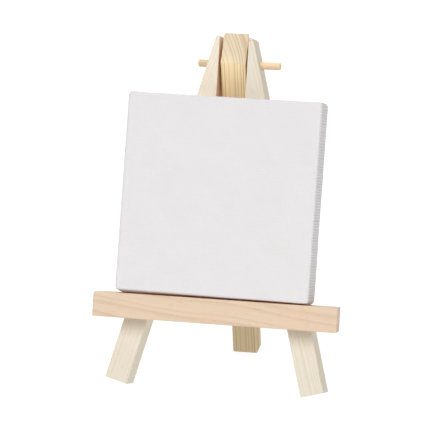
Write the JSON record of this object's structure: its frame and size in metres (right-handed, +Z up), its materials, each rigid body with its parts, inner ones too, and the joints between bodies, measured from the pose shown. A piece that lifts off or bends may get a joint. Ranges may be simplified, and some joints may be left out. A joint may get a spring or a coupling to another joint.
{
  "type": "tabletop wooden easel",
  "caption": "Tabletop wooden easel with two splayed front legs, a canvas ledge and a rear leg hinged on a dowel, holding a small stretched canvas.",
  "frame": {"origin": "bottom centre of the bounding box, on the surface the easel stands on", "axes": "+Z up, +X to the right and +Y to the back as seen from in front of the canvas"},
  "size_m": [0.1278, 0.0848, 0.1778],
  "materials": {
    "leg_wood": "sanded, unfinished",
    "ledge_wood": "sanded, unfinished",
    "rear_leg_wood": "sanded, unfinished, strong grain lines",
    "dowel_wood": "sanded, unfinished",
    "stretcher_wood": "sawn, unfinished",
    "canvas_cloth": "primed white cotton weave",
    "staple_steel": "satin",
    "brad_steel": "dull"
  },
  "bodies": {
    "front_frame": {"left_front_leg": "leg_wood", "right_front_leg": "leg_wood", "canvas_ledge": "ledge_wood", "hinge_dowel": "dowel_wood", "ledge_brads": "brad_steel"},
    "rear_support": {"rear_leg": "rear_leg_wood"},
    "canvas": {"stretcher_bottom_bar": "stretcher_wood", "stretcher_right_bar": "stretcher_wood", "stretcher_top_bar": "stretcher_wood", "stretcher_left_bar": "stretcher_wood", "canvas_cloth": "canvas_cloth", "cloth_staples": "staple_steel", "corner_staples": "staple_steel"}
  },
  "joints": [
    {"name": "rear_leg_fold", "type": "hinge", "parent": "front_frame", "child": "rear_support", "pos_m": [-0.0015, 0.01761, 0.16224], "axis": [1, 0, 0], "range_deg": [-24.2, 30]},
    {"name": "canvas_lift", "type": "slide", "parent": "front_frame", "child": "canvas", "axis": [0, 0, 1], "range_m": [0, 0.12]}
  ]
}
